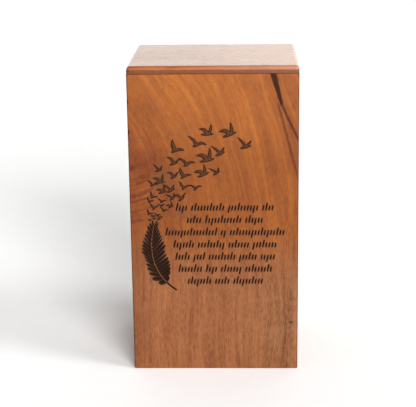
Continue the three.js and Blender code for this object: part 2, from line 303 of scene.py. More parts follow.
flock_paths = ToolPaths()
for i, one in enumerate(flock()):
    # neighbours can overlap, so they take passes 0 to 2 and 3 to 5 in turn
    bird(flock_paths, *one, 3 * (i % 2))
barb_paths, vane_paths = ToolPaths(), ToolPaths()
for i in range(BARBS):
    for side in (-1, 1):
        feather_barb(barb_paths, side, i, BARB_WIDTH)
        feather_barb(vane_paths, side, i, BARB_WIDTH if i in SPLITS[side] else VANE_WIDTHS[side])
shaft_path = ToolPaths()
shaft_path.cut(SHAFT, lambda t: SHAFT_WIDTH / 2 * (1 - 0.6 * t), SHAFT_STEPS)
quill = [along(SHAFT, share)[0] for share in (0, QUILL_SHARE / 2, QUILL_SHARE)]
word_paths = ToolPaths()
word_paths.cut(quill, lambda t: 0.34 + 0.26 * math.sin(math.pi * (0.2 + 0.6 * t)), STROKE_STEPS)
inscription(word_paths)


def node(tree, kind, inputs=None, **settings):
    """One node in a tree. Its inputs are given by name or number, as values or as sockets to wire."""
    made = tree.nodes.new(kind)
    for name, value in settings.items():
        setattr(made, name, value)
    for name, value in (inputs or {}).items():
        if isinstance(value, bpy.types.NodeSocket):
            tree.links.new(value, made.inputs[name])
        else:
            made.inputs[name].default_value = value
    return made


def calc(tree, operation, *values):
    return node(tree, "ShaderNodeMath", dict(enumerate(values)), operation=operation).outputs[0]


def combined(tree, x, y, z):
    return node(tree, "ShaderNodeCombineXYZ", {0: x, 1: y, 2: z}).outputs[0]


def geometry_tree(name, output, **inputs):
    """An empty tree that gives back a geometry. Its inputs are named, kind by kind."""
    tree = bpy.data.node_groups.new(name, "GeometryNodeTree")
    for kind, names in inputs.items():
        for socket in names:
            tree.interface.new_socket(socket, in_out="INPUT", socket_type="NodeSocket" + kind)
    tree.interface.new_socket(output, in_out="OUTPUT", socket_type="NodeSocketGeometry")
    return tree, node(tree, "NodeGroupInput").outputs


def shape_of(tree, body):
    return node(tree, "GeometryNodeObjectInfo", {"Object": body}).outputs["Geometry"]


def tool_sweep():
    """Sweeps the tool along its paths: a flat-bottomed cut from above the face down to a depth."""
    tree, given = geometry_tree(
        "Tool sweep", "Cutters",
        Object=["Paths"], Float=["Narrower", "Top", "Bottom"],
    )
    half = node(tree, "GeometryNodeInputNamedAttribute", {"Name": "half_width"}, data_type="FLOAT")
    half = calc(tree, "SUBTRACT", half.outputs[0], given["Narrower"])
    half = calc(tree, "MAXIMUM", half, LEAST_CUT)
    kept = node(tree, "GeometryNodeCaptureAttribute", {"Geometry": shape_of(tree, given["Paths"])})
    kept.capture_items.new("FLOAT", "half")
    tree.links.new(half, kept.inputs["half"])
    tool = node(tree, "GeometryNodeCurvePrimitiveQuadrilateral", {"Width": 2, "Height": 2})
    joined = node(tree, "GeometryNodeMeshBoolean", operation="UNION", solver="MANIFOLD")
    for tool_pass in range(TOOL_PASSES):
        own = node(tree, "GeometryNodeInputNamedAttribute", {"Name": "tool_pass"}, data_type="INT").outputs[0]
        same = node(tree, "FunctionNodeCompare", {2: own, 3: tool_pass}, data_type="INT", operation="EQUAL")
        these = node(tree, "GeometryNodeSeparateGeometry", {0: kept.outputs["Geometry"], 1: same.outputs[0]})
        lines = node(tree, "GeometryNodeMeshToCurve", {"Mesh": these.outputs[0]}).outputs[0]
        lines = node(tree, "GeometryNodeSetCurveNormal", {"Curve": lines, "Normal": (0, -1, 0)}, mode="FREE")
        swept = node(tree, "GeometryNodeCurveToMesh", {
            "Curve": lines.outputs[0],
            "Profile Curve": tool.outputs[0],
            "Scale": kept.outputs["half"],
            "Fill Caps": True,
        })
        place = node(tree, "GeometryNodeInputPosition").outputs[0]
        place = node(tree, "ShaderNodeSeparateXYZ", {0: place}).outputs
        below = calc(tree, "GREATER_THAN", place["Y"], PANEL_LOW.y)
        depth = node(tree, "ShaderNodeMapRange", {
            "Value": below, "To Min": given["Top"], "To Max": given["Bottom"],
        })
        depth = calc(tree, "ADD", depth.outputs[0], PANEL_LOW.y)
        flat = combined(tree, place["X"], depth, place["Z"])
        swept = node(tree, "GeometryNodeSetPosition", {"Geometry": swept.outputs[0], "Position": flat})
        tree.links.new(swept.outputs[0], joined.inputs[1])
    node(tree, "NodeGroupOutput", {"Cutters": joined.outputs[0]})
    return tree


SWEEP_TREE = tool_sweep()


def less(tree, solid, *others):
    """Node that cuts the others out of a solid."""
    made = node(tree, "GeometryNodeMeshBoolean", {0: solid}, operation="DIFFERENCE", solver="MANIFOLD")
    for other in others:
        tree.links.new(other, made.inputs[1])
    return made.outputs[0]


def engraved_panel():
    """Cuts the paths, the chips, the seat of the base board and the screw holes out of the blank."""
    tree, given = geometry_tree(
        "Engraved panel", "Panel",
        Geometry=["Blank"],
        Object=["Birds", "Barbs", "Vane", "Shaft", "Strokes", "Chips", "Seat", "Holes"],
        Float=["Depth", "Vane depth", "Bird depth", "Outline", "Above"],
        Material=["Wood"],
    )
    above = calc(tree, "MULTIPLY", given["Above"], -1)
    higher = calc(tree, "MULTIPLY", above, 2)
    deeper = calc(tree, "MULTIPLY", given["Depth"], 2)

    def sweep(paths, narrower, top, bottom):
        return node(tree, "GeometryNodeGroup", {
            "Paths": given[paths], "Narrower": narrower, "Top": top, "Bottom": bottom,
        }, node_tree=SWEEP_TREE).outputs[0]

    raised = sweep("Birds", given["Outline"], given["Bird depth"], deeper)
    birds = less(tree, sweep("Birds", 0.0, above, given["Depth"]), raised)
    shaft = sweep("Shaft", 0.0, higher, deeper)
    barbs = less(tree, sweep("Barbs", 0.0, above, given["Depth"]), shaft)
    vane = less(tree, sweep("Vane", 0.0, above, given["Vane depth"]), shaft)
    strokes = sweep("Strokes", 0.0, above, given["Depth"])
    bodies = [shape_of(tree, given[name]) for name in ("Chips", "Seat", "Holes")]
    panel = less(tree, given["Blank"], birds, barbs, vane, strokes, *bodies)

    tools = node(tree, "GeometryNodeJoinGeometry")
    for tool in (birds, vane, strokes):
        tree.links.new(tool, tools.inputs[0])
    near = node(tree, "GeometryNodeProximity", {0: tools.outputs[0]}, target_element="FACES")
    panel = node(tree, "GeometryNodeStoreNamedAttribute", {
        "Geometry": panel, "Name": "from_cut", "Value": near.outputs["Distance"],
    }, data_type="FLOAT", domain="POINT").outputs[0]
    panel = node(tree, "GeometryNodeRealizeInstances", {0: panel}).outputs[0]
    panel = node(tree, "GeometryNodeSetMaterial", {"Geometry": panel, "Material": given["Wood"]}).outputs[0]
    node(tree, "NodeGroupOutput", {"Panel": panel})
    return tree


def body_from(name, *parts):
    """A loose body made of closed parts, each given by the bmesh call that makes it."""
    made = bmesh.new()
    for call, settings in parts:
        call(made, **settings)
    mesh = bpy.data.meshes.new(name)
    made.to_mesh(mesh)
    made.free()
    body = bpy.data.objects.new(name, mesh)
    bpy.context.scene.collection.objects.link(body)
    return body


def block(low, high):
    middle = (Vector(low) + Vector(high)) / 2
    size = Vector(high) - Vector(low)
    return bmesh.ops.create_cube, {"size": 1, "matrix": Matrix.LocRotScale(middle, None, size)}


def rounded_lattice(low, high, radius, cell, square_sides):
    """A closed board with a grid of faces, rounded on every edge but those of the square sides."""
    near_edge = [0, 0.423, 0.732, 1]  # shares of the radius, for even steps of angle

    def lines(axis):
        first = [low[axis] + radius * share for share in near_edge]
        last = [high[axis] - radius * share for share in reversed(near_edge)]
        count = max(1, round((last[0] - first[-1]) / cell))
        flat = [first[-1] + (last[0] - first[-1]) * i / count for i in range(1, count)]
        return first + flat + last

    axes = [lines(axis) for axis in range(3)]
    ends = [len(axis) - 1 for axis in axes]
    corners = {}
    points, faces = [], []

    def corner(place):
        if place not in corners:
            at = Vector([axes[axis][place[axis]] for axis in range(3)])
            inner = at.copy()
            for axis in range(3):
                foot = low[axis] if (axis, 0) in square_sides else low[axis] + radius
                head = high[axis] if (axis, 1) in square_sides else high[axis] - radius
                inner[axis] = min(max(at[axis], foot), head)
            away = at - inner
            if away.length > 0:
                at = inner + away.normalized() * radius
            corners[place] = len(points)
            points.append(at)
        return corners[place]

    for axis in range(3):
        u, v = [other for other in range(3) if other != axis]
        for side in (0, ends[axis]):
            for i in range(ends[u]):
                for j in range(ends[v]):
                    face = []
                    for di, dj in ((0, 0), (1, 0), (1, 1), (0, 1)):
                        place = [0, 0, 0]
                        place[axis], place[u], place[v] = side, i + di, j + dj
                        face.append(corner(tuple(place)))
                    faces.append(face)
    mesh = bpy.data.meshes.new("board")
    mesh.from_pydata(points, [], faces)
    made = bmesh.new()
    made.from_mesh(mesh)
    bmesh.ops.recalc_face_normals(made, faces=made.faces)
    made.to_mesh(mesh)
    made.free()
    return mesh


def fade(tree, value, start, end, low=0.0, high=1.0):
    """Turns a value between start and end into a soft change from low to high."""
    return node(tree, "ShaderNodeMapRange", {
        "Value": value, "From Min": start, "From Max": end, "To Min": low, "To Max": high,
    }, interpolation_type="SMOOTHSTEP").outputs[0]


def tint(tree, share, under, over):
    """A share of one colour laid over another."""
    made = node(tree, "ShaderNodeMix", {0: share}, data_type="RGBA")
    for socket, colour in ((made.inputs[6], under), (made.inputs[7], over)):
        if isinstance(colour, bpy.types.NodeSocket):
            tree.links.new(colour, socket)
        else:
            socket.default_value = (*colour, 1)
    return made.outputs[2]


def fibres(tree, place, across, lengthwise, detail=2.0, rough=0.5):
    """Noise drawn out along the grain: its size across the grain and along it, in millimetres."""
    scale = (1 / across, 1 / lengthwise, 1 / across)
    drawn = node(tree, "ShaderNodeVectorMath", {0: place, 1: scale}, operation="MULTIPLY")
    noise = node(tree, "ShaderNodeTexNoise", {
        "Vector": drawn.outputs[0], "Scale": 1.0, "Detail": detail, "Roughness": rough,
    })
    return noise.outputs["Fac"]


def grain_place(tree, across, lengthwise, depth):
    """The board's own directions in millimetres, from the axes that its grain follows."""
    place = node(tree, "ShaderNodeTexCoord").outputs["Object"]
    place = node(tree, "ShaderNodeSeparateXYZ", {0: place}).outputs
    return [calc(tree, "MULTIPLY", place[axis], 1000.0) for axis in (across, lengthwise, depth)]


PORE_RELIEF = 0.00006


def varnished(tree, colour, relief, roughness, specular):
    """Satin varnish over the wood: a soft gloss, with the pores still open."""
    bump = node(tree, "ShaderNodeBump", {"Height": relief, "Distance": PORE_RELIEF, "Strength": 0.6})
    shader = node(tree, "ShaderNodeBsdfPrincipled", {
        "Base Color": colour,
        "Roughness": roughness,
        "Normal": bump.outputs[0],
        "IOR": 1.5,
        "Specular IOR Level": specular,
    })
    node(tree, "ShaderNodeOutputMaterial", {"Surface": shader.outputs[0]})


def blank_material(name):
    material = bpy.data.materials.new(name)
    material.use_nodes = True
    material.node_tree.nodes.clear()
    return material, material.node_tree


GOLDEN = (0.210, 0.0572, 0.0062)  # upper part
REDDISH = (0.164, 0.0418, 0.0031)  # middle
PINKISH = (0.158, 0.0520, 0.0158)  # lower part
GREYISH = (0.190, 0.080, 0.0295)  # lower right
DARK_FIGURE_AND_EDGE_SHADE = (0.086, 0.0135, 0.0014)  # dark figure at the left edge, and the painted shade on the rounded long edges
PORE = (0.050, 0.012, 0.002)
STREAK = (0.022, 0.006, 0.003)
SMOKE = (0.080, 0.034, 0.010)
BURNT = (0.012, 0.005, 0.003)
SCORCHED = (0.062, 0.024, 0.011)
GRAIN_SWING = (0.85, 1.15, 1.35)  # red swings least, so dark grain is redder and pale grain yellower

# Places in the wood, in millimetres across from the middle and up from the
# table. A patch has its middle and radii, and some have a share.
FAN_FOOT = 100.0  # the grain runs straight up below this
KNOT = (-90.0, 244.0)  # the arcs at the left bend round it
ARCS = ((-84.0, 172.0), (46.0, 56.0))
GREY_CORNER = ((85.0, 40.0), (75.0, 85.0))
CURLY_CORNER = ((62.0, 50.0), (62.0, 90.0))
FEATHER_PATCH = ((-58.0, 108.0), (26.0, 60.0))
CLOUDS = [
    ((-68.0, 199.0), (34.0, 24.0), 0.6),
    ((-64.0, 246.0), (30.0, 24.0), 0.35),
    ((-46.0, 178.0), (60.0, 75.0), 0.35),
    ((-74.0, 150.0), (26.0, 36.0), 0.35),
]
SMOKED = [
    ((-43.0, 184.0), (22.0, 18.0), 1.0),
    ((-27.0, 151.0), (14.0, 9.0), 1.0),
    ((-70.0, 116.0), (9.0, 36.0), 0.7),
]
# Seams: upper and lower end, widths there, share and softness of the sides
STREAK_LINES = [
    ((51.9, 282.0), (61.0, 249.0), (6.4, 3.0), 0.95, 1.4),  # wedge from the top
    ((60.2, 251.0), (76.6, 216.0), (2.6, 2.2), 0.75, 1.8),  # and its two thin branches
    ((57.6, 250.0), (76.8, 178.0), (2.2, 1.6), 0.5, 1.8),
]
STREAK_SHADES = [
    ((50.0, 281.0), (60.0, 240.0), (14.0, 10.0), 0.3, 2.0),
    ((63.0, 250.0), (79.0, 190.0), (6.0, 22.0), 0.35, 1.8),
]
DARK_MARK = ((69.3, 46.9), (69.6, 45.6), (3.6, 3.0), 0.8, 1.6)


def largest(tree, values):
    most, *others = values
    for value in others:
        most = calc(tree, "MAXIMUM", most, value)
    return most


def swung(tree, pattern, strength, gain):
    """Adds to the gain what a pattern lies above or below its middle."""
    return calc(tree, "MULTIPLY_ADD", calc(tree, "SUBTRACT", pattern, 0.5), strength, gain)


def away(tree, x, z, middle, radii=(1.0, 1.0)):
    """Distance from a place, in millimetres or as a share of the radii."""
    dx = calc(tree, "DIVIDE", calc(tree, "SUBTRACT", x, middle[0]), radii[0])
    dz = calc(tree, "DIVIDE", calc(tree, "SUBTRACT", z, middle[1]), radii[1])
    return calc(tree, "SQRT", calc(tree, "ADD", calc(tree, "POWER", dx, 2.0), calc(tree, "POWER", dz, 2.0)))


def patch(tree, x, z, middle, radii):
    """A soft round patch: one in the middle, nothing beyond its radii."""
    return fade(tree, away(tree, x, z, middle, radii), 0.0, 1.0, 1.0, 0.0)


def seam(tree, x, z, start, end, widths, share, soft):
    """A straight dark seam from one place to a lower one."""
    down = calc(tree, "DIVIDE", calc(tree, "SUBTRACT", start[1], z), start[1] - end[1])
    middle = calc(tree, "MULTIPLY_ADD", down, end[0] - start[0], start[0])
    half = calc(tree, "MULTIPLY_ADD", down, (widths[1] - widths[0]) / 2, widths[0] / 2)
    off = calc(tree, "DIVIDE", calc(tree, "ABSOLUTE", calc(tree, "SUBTRACT", x, middle)), half)
    inside = calc(tree, "MULTIPLY", fade(tree, down, -0.06, 0.03), fade(tree, down, 1.1, 0.92))
    return calc(tree, "MULTIPLY", fade(tree, off, 2 - soft, soft, share, 0.0), inside)


def front_grain(tree, x, z, y):
    """Patterns of the front's wood. Its grain leans left towards the top and bends in arcs there."""
    high = calc(tree, "MAXIMUM", calc(tree, "SUBTRACT", z, FAN_FOOT), 0.0)
    lean = fade(tree, x, -76.0, 40.0, 0.0017, 0.0010)
    leaning = calc(tree, "MULTIPLY_ADD", calc(tree, "POWER", high, 2.0), lean, x)
    raw = combined(tree, x, z, y)
    wander = swung(tree, fibres(tree, raw, 34.0, 80.0), 12.0, 0.0)
    fanned = combined(tree, calc(tree, "ADD", leaning, wander), z, y)
    arched = combined(tree, calc(tree, "ADD", away(tree, x, z, KNOT), wander), x, y)
    curl = fade(tree, patch(tree, x, z, *ARCS), 0.0, 0.55)

    def grown(across, lengthwise, detail=2.0, rough=0.5):
        straight = fibres(tree, fanned, across, lengthwise, detail, rough)
        bent = fibres(tree, arched, across, lengthwise, detail, rough)
        return calc(tree, "MULTIPLY_ADD", calc(tree, "SUBTRACT", bent, straight), curl, straight)

    flames = fade(tree, fibres(tree, arched, 5.0, 60.0), 0.54, 0.42)
    return {
        "bands": grown(10.0, 170.0, 3.0),
        "streaks": grown(2.4, 60.0),
        "flecks": grown(0.9, 6.0, 2.0, 0.6),
        "hairs": grown(0.6, 14.0, 3.0),
        "pores": grown(0.5, 2.0, 1.0),
        "rays": fibres(tree, fanned, 5.0, 200.0, 1.0),
        "mottle": fibres(tree, raw, 6.0, 8.0, 3.0, 0.6),
        "blotch": fibres(tree, raw, 26.0, 34.0),
        "curls": fibres(tree, raw, 14.0, 3.2),
        "flames": calc(tree, "MULTIPLY", flames, fade(tree, curl, 0.15, 0.7)),
    }


def front_ground(tree, x, z, grain):
    """The wood's own colour: golden above, redder and then pinker below, darker at the left."""
    colour = tint(tree, fade(tree, z, 188.0, 262.0), REDDISH, GOLDEN)
    colour = tint(tree, fade(tree, z, 150.0, 78.0), colour, PINKISH)
    colour = tint(tree, patch(tree, x, z, *GREY_CORNER), colour, GREYISH)
    edge = calc(tree, "MULTIPLY", fade(tree, x, -52.0, -77.0, 0.0, 0.55), fade(tree, z, 275.0, 215.0))
    edge = calc(tree, "MULTIPLY", edge, fade(tree, z, 96.0, 150.0, 0.15, 1.0))
    clouds = 0.0
    for middle, radii, share in CLOUDS:
        clouds = calc(tree, "MULTIPLY_ADD", patch(tree, x, z, middle, radii), share, clouds)
    dark = largest(tree, (grain["flames"], edge, clouds))
    dark = calc(tree, "MULTIPLY", dark, fade(tree, grain["mottle"], 0.3, 0.6, 1.1, 0.8))
    return tint(tree, dark, colour, DARK_FIGURE_AND_EDGE_SHADE)


def front_figure(tree, x, z, grain, colour):
    """Lays the grain over a colour, brighter and darker, with the pores open."""
    fine = swung(tree, grain["streaks"], 0.8, swung(tree, grain["flecks"], 1.2, 0.0))
    # the fine figure is fainter towards the top
    gain = calc(tree, "MULTIPLY", fine, fade(tree, z, 120.0, 215.0, 1.0, 0.62))
    for pattern, strength in (("bands", 0.7), ("mottle", 0.4), ("blotch", 0.35)):
        gain = swung(tree, grain[pattern], strength, gain)
    curly = calc(tree, "MULTIPLY", grain["curls"], patch(tree, x, z, *CURLY_CORNER))
    gain = calc(tree, "MULTIPLY_ADD", curly, -0.25, gain)
    rays = fade(tree, grain["rays"], 0.54, 0.68)
    pale = calc(tree, "MULTIPLY", rays, fade(tree, z, 130.0, 230.0, 0.05, 0.2))
    right_edge = calc(tree, "MULTIPLY", fade(tree, x, 40.0, 76.0, 0.0, 0.1), fade(tree, z, 100.0, 150.0))
    gain = calc(tree, "SUBTRACT", calc(tree, "ADD", gain, pale), right_edge)
    gain = combined(tree, *(calc(tree, "MULTIPLY_ADD", gain, swing, 1.0) for swing in GRAIN_SWING))
    colour = node(tree, "ShaderNodeVectorMath", {0: colour, 1: gain}, operation="MULTIPLY").outputs[0]
    hairs = fade(tree, grain["hairs"], 0.42, 0.28, 0.0, 0.25)
    pores = fade(tree, grain["pores"], 0.42, 0.26, 0.0, 0.4)
    return tint(tree, calc(tree, "MAXIMUM", hairs, pores), colour, PORE)


def front_depth(tree, x, z, y):
    """Depth below the face with its rounded edges allowed for, and a share of painted shade for the rounding
    itself.
    """
    radius, side = EDGE_RADIUS * 1000, PANEL_HIGH.x * 1000
    wide = calc(tree, "ABSOLUTE", x)
    over_edge = calc(tree, "MAXIMUM", calc(tree, "SUBTRACT", wide, side - radius), 0.0)
    left = calc(tree, "SUBTRACT", radius ** 2, calc(tree, "POWER", over_edge, 2.0))
    rounding = calc(tree, "SUBTRACT", radius, calc(tree, "SQRT", calc(tree, "MAXIMUM", left, 0.0)))
    behind = calc(tree, "SUBTRACT", y, PANEL_LOW.y * 1000)
    on_face = calc(tree, "MULTIPLY", fade(tree, wide, side - 0.04, side - 0.14), fade(tree, z, 1.4, 1.8))
    depth = calc(tree, "MULTIPLY", calc(tree, "SUBTRACT", behind, rounding), on_face)
    # painted shade on the rounding of the long edges, near the face
    painted_edge_shade = calc(tree, "MULTIPLY", fade(tree, over_edge, 0.0, 0.6, 0.0, 0.75), fade(tree, behind, 1.4, 1.1))
    return depth, painted_edge_shade


def front_wood():
    """Upright reddish hardwood with a dark mineral streak, burnt in its cuts and sooted beside them."""
    material, tree = blank_material("front_wood")
    x, z, y = grain_place(tree, 0, 2, 1)
    grain = front_grain(tree, x, z, y)
    colour = front_figure(tree, x, z, grain, front_ground(tree, x, z, grain))

    ragged = swung(tree, grain["flecks"], 2.4, x)
    shades = [seam(tree, x, z, *one) for one in STREAK_SHADES]
    lines = [seam(tree, ragged, z, *one) for one in STREAK_LINES]
    streak = largest(tree, (*lines, seam(tree, x, z, *DARK_MARK)))
    colour = tint(tree, largest(tree, shades), colour, DARK_FIGURE_AND_EDGE_SHADE)
    colour = tint(tree, streak, colour, STREAK)

    # the rounded long edges are painted in shade, and smoke has stained the wood round the small birds
    depth, painted_edge_shade = front_depth(tree, x, z, y)
    colour = tint(tree, painted_edge_shade, colour, DARK_FIGURE_AND_EDGE_SHADE)
    smoke = largest(tree, [
        calc(tree, "MULTIPLY", patch(tree, x, z, middle, radii), share) for middle, radii, share in SMOKED
    ])
    smoke = calc(tree, "MULTIPLY", smoke, fade(tree, grain["mottle"], 0.35, 0.6, 0.1, 0.5))
    colour = tint(tree, smoke, colour, SMOKE)

    # soot beside the cuts, most on the feather's ridges; brown where they are shallow, char where deep
    from_cut = node(tree, "ShaderNodeAttribute", attribute_name="from_cut").outputs["Fac"]
    browned = fade(tree, patch(tree, x, z, *FEATHER_PATCH), 0.0, 0.4, 0.4, 0.75)
    soot = calc(tree, "MULTIPLY", fade(tree, from_cut, 0.0009, 0.0), browned)
    colour = tint(tree, soot, colour, SCORCHED)
    # the chips on the left edge take these colours by their depth too: painted shade in them
    colour = tint(tree, fade(tree, depth, 0.1, 0.3), colour, SCORCHED)
    colour = tint(tree, fade(tree, depth, 0.5, 0.75), colour, BURNT)

    streaks = grain["streaks"]
    relief = calc(tree, "ADD", fade(tree, grain["hairs"], 0.42, 0.3, 0.0, -1.0), streaks)
    roughness = calc(tree, "MULTIPLY_ADD", streaks, 0.12, fade(tree, depth, 0.1, 0.4, 0.36, 0.8))
    dull = calc(tree, "MULTIPLY", calc(tree, "MAXIMUM", streak, painted_edge_shade), 0.15)
    specular = calc(tree, "SUBTRACT", fade(tree, depth, 0.1, 0.4, 0.2, 0.05), dull)
    varnished(tree, colour, relief, roughness, calc(tree, "MAXIMUM", specular, 0.03))
    return material


# Chips on the left edge: how high they are, how far they reach in and half their height
CHIPS = [
    (253.8, 1.5, 2.8),
    (247.5, 1.0, 2.4),
    (226.0, 2.0, 3.2),
    (32.6, 1.4, 2.4),
    (22.7, 1.2, 2.0),
    (18.5, 1.1, 1.8),
]
SEAT_DEPTH = 0.0101  # how far the base board sits up into the walls
CHEEK = 0.004  # wall left outside it
SCREW_X, SCREW_Y, SCREW_RECESS = 0.042, 0.056, 0.001
SCREW_PLACES = [(x, y, SCREW_RECESS) for y in (-SCREW_Y, SCREW_Y) for x in (-SCREW_X, SCREW_X)]
# Radius and height, in millimetres, from the head of the hole to its end
HOLE_PROFILE = [(0, -0.3), (2.8, -0.3), (2.8, 0.3), (1.6, 1.6), (1.6, 13), (0, 16.3)]


def turned(made, profile, place=(0, 0, 0), sides=24):
    """Adds a closed body turned from a profile of radius and height, in millimetres."""
    rings = []
    for radius, height in profile:
        rings.append([made.verts.new((
            place[0] + radius / 1000 * math.cos(turn * math.tau / sides),
            place[1] + radius / 1000 * math.sin(turn * math.tau / sides),
            place[2] + height / 1000,
        )) for turn in range(sides if radius else 1)])
    for under, over in zip(rings, rings[1:]):
        for i in range(sides):
            j = (i + 1) % sides
            around = (under[i % len(under)], under[j % len(under)], over[j % len(over)], over[i % len(over)])
            made.faces.new(list(dict.fromkeys(around)))
    bmesh.ops.recalc_face_normals(made, faces=made.faces)


def chip(height, wide, tall):
    """A rough lump that bites into the corner between the front and the left side."""
    place = Vector((PANEL_LOW.x, PANEL_LOW.y, height / 1000))
    reach = Vector((wide, wide, tall)) / 1000
    turn = Euler((0.3 * math.sin(height), 0.25, 0.6 + height))
    matrix = Matrix.LocRotScale(place, turn, reach)
    return bmesh.ops.create_icosphere, {"subdivisions": 1, "radius": 1, "matrix": matrix}


def apply_tree(piece, tree, values):
    """Runs a node tree on a piece and keeps the result as its plain mesh."""
    modifier = piece.modifiers.new(tree.name, "NODES")
    modifier.node_group = tree
    for socket in tree.interface.items_tree:
        if socket.name in values:
            modifier[socket.identifier] = values[socket.name]
    ready = piece.evaluated_get(bpy.context.evaluated_depsgraph_get())
    mesh = bpy.data.meshes.new_from_object(ready)
    piece.modifiers.clear()
    piece.data = mesh


def piece_from(name, mesh):
    piece = bpy.data.objects.new(name, mesh)
    bpy.context.scene.collection.objects.link(piece)
    return piece


seat = body_from("base_seat", block(
    (PANEL_LOW.x + CHEEK, PANEL_LOW.y + CHEEK, -EDGE_RADIUS),
    (PANEL_HIGH.x - CHEEK, -PANEL_LOW.y - CHEEK, SEAT_DEPTH),
))
holes = body_from("screw_holes", *(
    (turned, {"profile": HOLE_PROFILE, "place": place}) for place in SCREW_PLACES
))
tools = {
    "Birds": flock_paths.made("bird_paths"),
    "Barbs": barb_paths.made("barb_paths"),
    "Vane": vane_paths.made("vane_paths"),
    "Shaft": shaft_path.made("shaft_path"),
    "Strokes": word_paths.made("stroke_paths"),
    "Chips": body_from("chips", *(chip(*one) for one in CHIPS)),
}
FRONT_SQUARE = {(1, 1), (2, 1)}  # its back and top aren't rounded

front_panel = piece_from(
    "front_panel_engraved",
    rounded_lattice(PANEL_LOW, PANEL_HIGH, EDGE_RADIUS, CELL, FRONT_SQUARE),
)
apply_tree(front_panel, engraved_panel(), {
    **tools,
    "Depth": CUT_DEPTH, "Vane depth": VANE_DEPTH, "Bird depth": BIRD_DEPTH,
    "Outline": OUTLINE, "Above": CUT_ABOVE,
    "Seat": seat, "Holes": holes, "Wood": front_wood(),
})
for tool in tools.values():
    bpy.data.objects.remove(tool)
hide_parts("front_panel")
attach(front_panel, "root")


# Back and side boards: plain upright boards of the same wood. The sides are
# butted between front and back and glued; the foot edges are sanded round.
WALL_CELL = 0.04
SIDE_SHADES = ((0.085, 0.020, 0.004), (0.195, 0.055, 0.010), (0.255, 0.076, 0.015))
PLANK_APART = 400.0  # millimetres of wood between one board's figure and the next


def board_wood(name, axes, shades, plank, specular=0.2, roughness=0.33, cut_edge=None, painted_sheen_end=None):
    """Plain figure for a board: soft bands and streaks along the grain, pores and a little mottle."""
    material, tree = blank_material(name)
    across, lengthwise, deep = grain_place(tree, *axes)
    across = calc(tree, "ADD", across, PLANK_APART * plank)
    raw = combined(tree, across, lengthwise, deep)
    bent = swung(tree, fibres(tree, raw, 40.0, 110.0), 26.0, across)
    place = combined(tree, bent, lengthwise, deep)
    bands = fibres(tree, place, 9.0, 240.0, 3.0)
    streaks = fibres(tree, place, 1.7, 60.0)
    hairs = fibres(tree, place, 0.5, 13.0)
    mottle = fibres(tree, raw, 15.0, 70.0, 3.0)
    dark, middle, light = shades
    colour = tint(tree, fade(tree, bands, 0.35, 0.68), middle, light)
    colour = tint(tree, fade(tree, mottle, 0.55, 0.35, 0.0, 0.26), colour, dark)
    colour = tint(tree, fade(tree, bands, 0.45, 0.28, 0.0, 0.5), colour, dark)
    colour = tint(tree, fade(tree, streaks, 0.5, 0.32, 0.0, 0.35), colour, dark)
    colour = tint(tree, fade(tree, hairs, 0.42, 0.28, 0.0, 0.55), colour, dark)
    # a painted sheen that grows along the grain towards one end
    if painted_sheen_end:
        colour = tint(tree, fade(tree, lengthwise, -40.0, 76.0, 0.0, 0.5), colour, painted_sheen_end)
    if cut_edge:
        # the upright edge is darker than the flat
        colour = tint(tree, fade(tree, deep, *cut_edge, 0.8, 0.0), colour, dark)
    relief = calc(tree, "ADD", fade(tree, hairs, 0.42, 0.3, 0.0, -1.0), streaks)
    varnished(tree, colour, relief, calc(tree, "MULTIPLY_ADD", streaks, 0.14, roughness), specular)
    return material


def seated_board():
    """Cuts the seat of the base board and the screw holes out of a plain board."""
    tree, given = geometry_tree(
        "Seated board", "Board",
        Geometry=["Blank"], Object=["Seat", "Holes"], Material=["Wood"],
    )
    bodies = [shape_of(tree, given[name]) for name in ("Seat", "Holes")]
    board = less(tree, given["Blank"], *bodies)
    board = node(tree, "GeometryNodeRealizeInstances", {0: board}).outputs[0]
    board = node(tree, "GeometryNodeSetMaterial", {"Geometry": board, "Material": given["Wood"]}).outputs[0]
    node(tree, "NodeGroupOutput", {"Board": board})
    return tree


SEATED_BOARD = seated_board()
BACK_SQUARE = {(1, 0), (2, 1)}  # the back's inner face and top
BUTTED = {(1, 0), (1, 1), (2, 1)}  # a side board's ends and top
for name, square_sides, axes, plank in (
    ("back_panel", BACK_SQUARE, (0, 2, 1), 11),
    ("left_side", BUTTED, (1, 2, 0), 10),
    ("right_side", BUTTED, (1, 2, 0), 11),
):
    low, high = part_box(name)
    wall = piece_from(name + "_board", rounded_lattice(low, high, EDGE_RADIUS, WALL_CELL, square_sides))
    wood = board_wood(name + "_wood", axes, SIDE_SHADES, plank)
    apply_tree(wall, SEATED_BOARD, {"Seat": seat, "Holes": holes, "Wood": wood})
    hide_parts(name)
    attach(wall, "root")


# Base board: lies in the seat cut into the walls, a millimetre above the
# table, and is screwed up into the front and back through countersunk holes.
BASE_EDGE = 0.0006
BASE_SHADES = ((0.19, 0.06, 0.02), (0.32, 0.11, 0.035), (0.40, 0.15, 0.05))

low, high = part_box("base_board")
base = piece_from("base_board_screwed", rounded_lattice(low, high, BASE_EDGE, WALL_CELL, set()))
base_wood = board_wood("base_wood", (1, 0, 2), BASE_SHADES, 3)
apply_tree(base, SEATED_BOARD, {"Holes": holes, "Wood": base_wood})
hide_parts("base_board")
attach(base, "root")
bpy.data.objects.remove(seat)
bpy.data.objects.remove(holes)


# Top board: a thin board with its grain from left to right, glued over the
# walls. A lip under it fits inside them, and its upper edge is routed round.
TOP_THICKNESS = 0.007
TOP_ROUND = 0.003  # how far in the rounding reaches
TOP_RISE = 0.0042  # and how high it is
TOP_CORNER = 0.0025
TOP_ARRIS = 0.0004
ROUND_STEPS = 10
CORNER_STEPS = 5
LIP_HALF = (0.0637, 0.0517)
TOP_SHADES = ((0.085, 0.020, 0.004), (0.218, 0.059, 0.0150), (0.30, 0.095, 0.032))
TOP_PAINTED_SHEEN = (0.46, 0.22, 0.135)  # painted sheen, growing towards the right
TOP_CUT_EDGE = (281.0, 283.2)  # the upright edge's darker colour fades out between these heights, in millimetres
